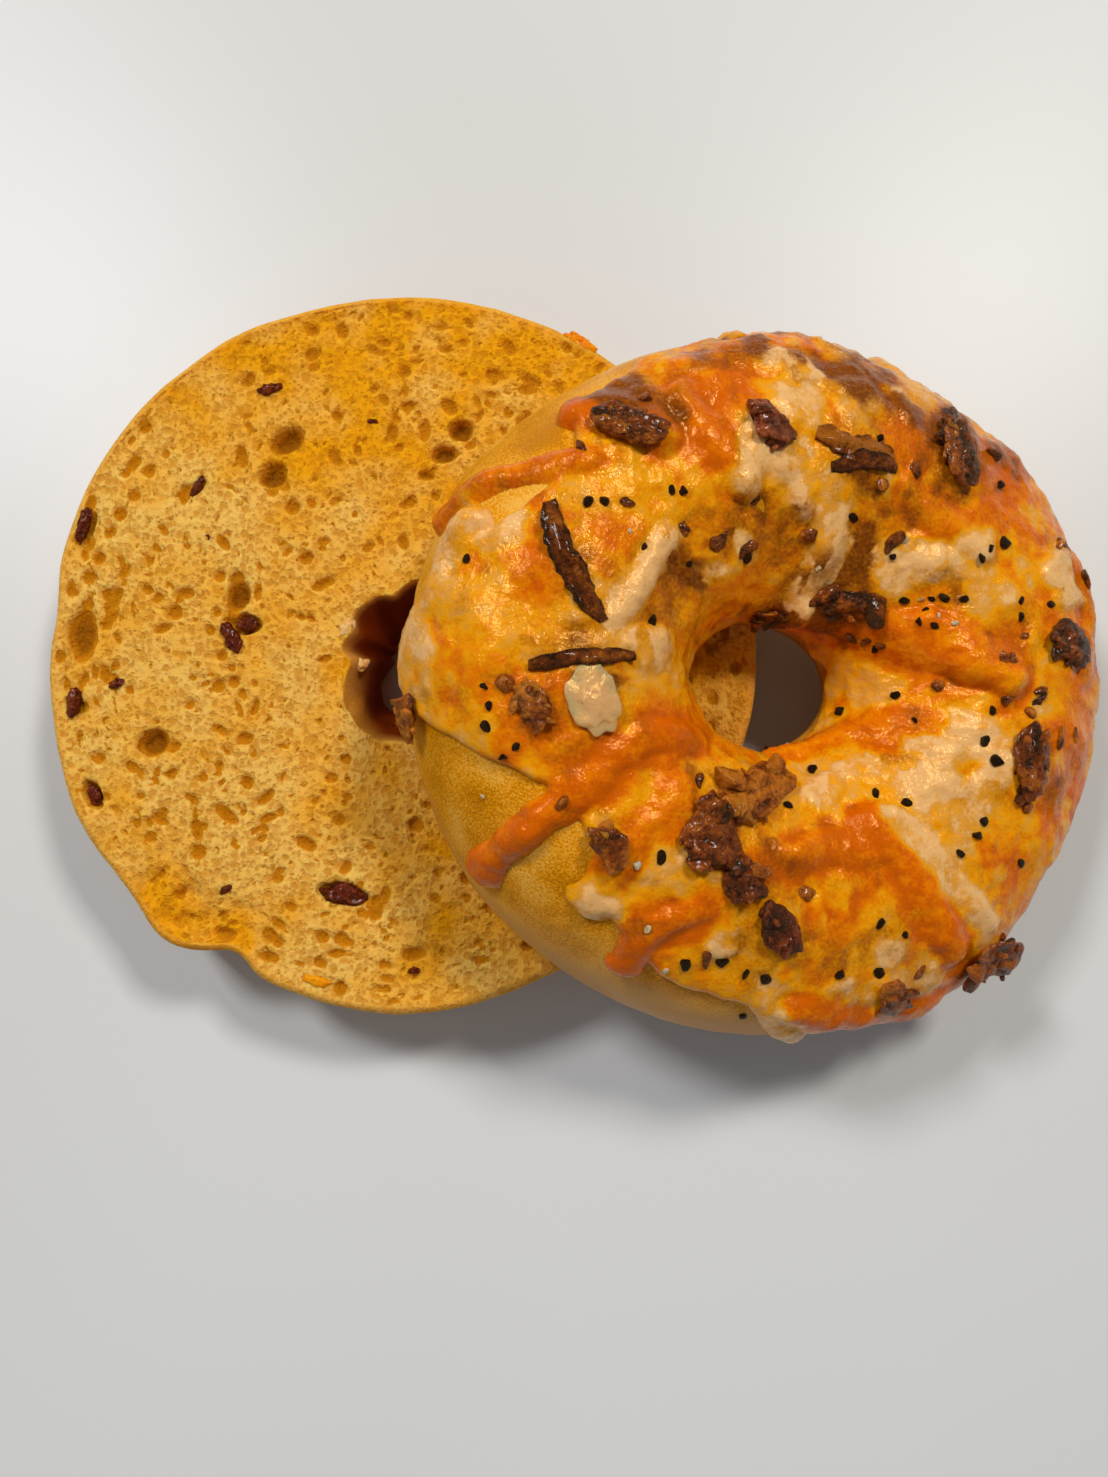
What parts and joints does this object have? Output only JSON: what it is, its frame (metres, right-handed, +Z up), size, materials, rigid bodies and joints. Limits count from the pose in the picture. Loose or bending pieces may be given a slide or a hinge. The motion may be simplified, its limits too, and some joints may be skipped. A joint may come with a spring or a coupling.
{
  "type": "sliced cheese bagel",
  "caption": "Savoury bagel cut through: the lower half lies crumb side up and the cheese and bacon topped upper half leans on its rim, a hole through each.",
  "frame": {"origin": "on the table, under the middle of the whole", "axes": "+Z up from the table, +X from the lower half towards the upper half that leans on it, +Y to the side of the lower half"},
  "size_m": [0.1672, 0.1184, 0.0521],
  "materials": {
    "crumb": "matte, open porous crumb in a smooth thin crust",
    "dough": "golden crust with an oily sheen, matte porous cut face",
    "cheese": "melted orange and white cheese with toasted spots and black pepper",
    "bacon": "dark red-brown, crisp and greasy",
    "onion": "brown, crisp and slightly translucent"
  },
  "bodies": {
    "root": {"lower_half": "crumb", "upper_half": "dough", "cheese": "cheese", "onion_strip_long": "onion", "onion_strip_thin": "onion", "onion_strip_north": "onion", "bacon_pink": "bacon", "bacon_north_east": "bacon", "bacon_north_west": "bacon", "bacon_east": "bacon", "bacon_south_east": "bacon", "bacon_west_rim": "bacon", "bacon_west": "bacon", "bacon_south_west": "bacon", "bacon_heap_left": "bacon", "bacon_heap_right": "bacon", "bacon_heap_low": "bacon", "bacon_south": "bacon", "bacon_south_rim": "bacon", "bacon_overhang": "bacon", "onion_hole_edge": "onion", "onion_pale": "onion", "bacon_hole_rim": "bacon"}
  },
  "joints": []
}
